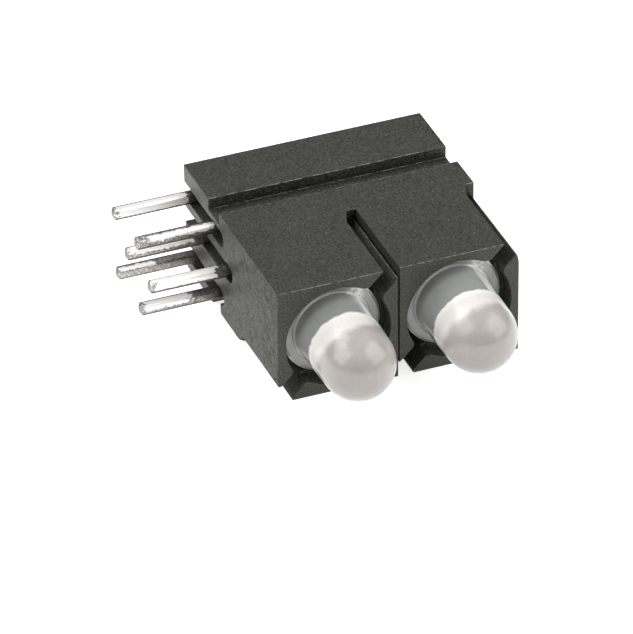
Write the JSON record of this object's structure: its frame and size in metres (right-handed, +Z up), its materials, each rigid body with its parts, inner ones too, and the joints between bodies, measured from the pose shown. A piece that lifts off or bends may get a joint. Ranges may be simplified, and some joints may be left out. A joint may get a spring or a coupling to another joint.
{
  "type": "led display",
  "caption": "Right-angle circuit-board indicator: a black moulded holder with milky domed light-emitting diodes side by side and tinned leads bent to one side.",
  "frame": {"origin": "centre of the bounding box's base: halfway between the lead tips and the far end face in X, halfway between the dome tips and the rear face in Y, on the side face that the part lies on", "axes": "+X away from the circuit board, so the leads point along -X; the domes point along -Y; +Z up, from the side face that it lies on to the grooved side face"},
  "size_m": [0.0134, 0.0136, 0.005],
  "materials": {
    "holder_plastic": "fine-grained moulded black plastic",
    "milky_epoxy": "milky, translucent, smooth cast epoxy",
    "tinned_lead": "hot-tinned, slightly blotchy, bright",
    "die": "small semiconductor block",
    "gold_wire": "fine gold bond wire"
  },
  "bodies": {
    "root": {"housing": "holder_plastic", "lower_led_lens": "milky_epoxy", "upper_led_lens": "milky_epoxy", "lower_led_upper_lead": "tinned_lead", "lower_led_middle_lead": "tinned_lead", "lower_led_lower_lead": "tinned_lead", "upper_led_upper_lead": "tinned_lead", "upper_led_middle_lead": "tinned_lead", "upper_led_lower_lead": "tinned_lead", "lower_led_upper_die": "die", "lower_led_lower_die": "die", "upper_led_upper_die": "die", "upper_led_lower_die": "die", "lower_led_upper_wire": "gold_wire", "lower_led_lower_wire": "gold_wire", "upper_led_upper_wire": "gold_wire", "upper_led_lower_wire": "gold_wire"}
  },
  "joints": []
}
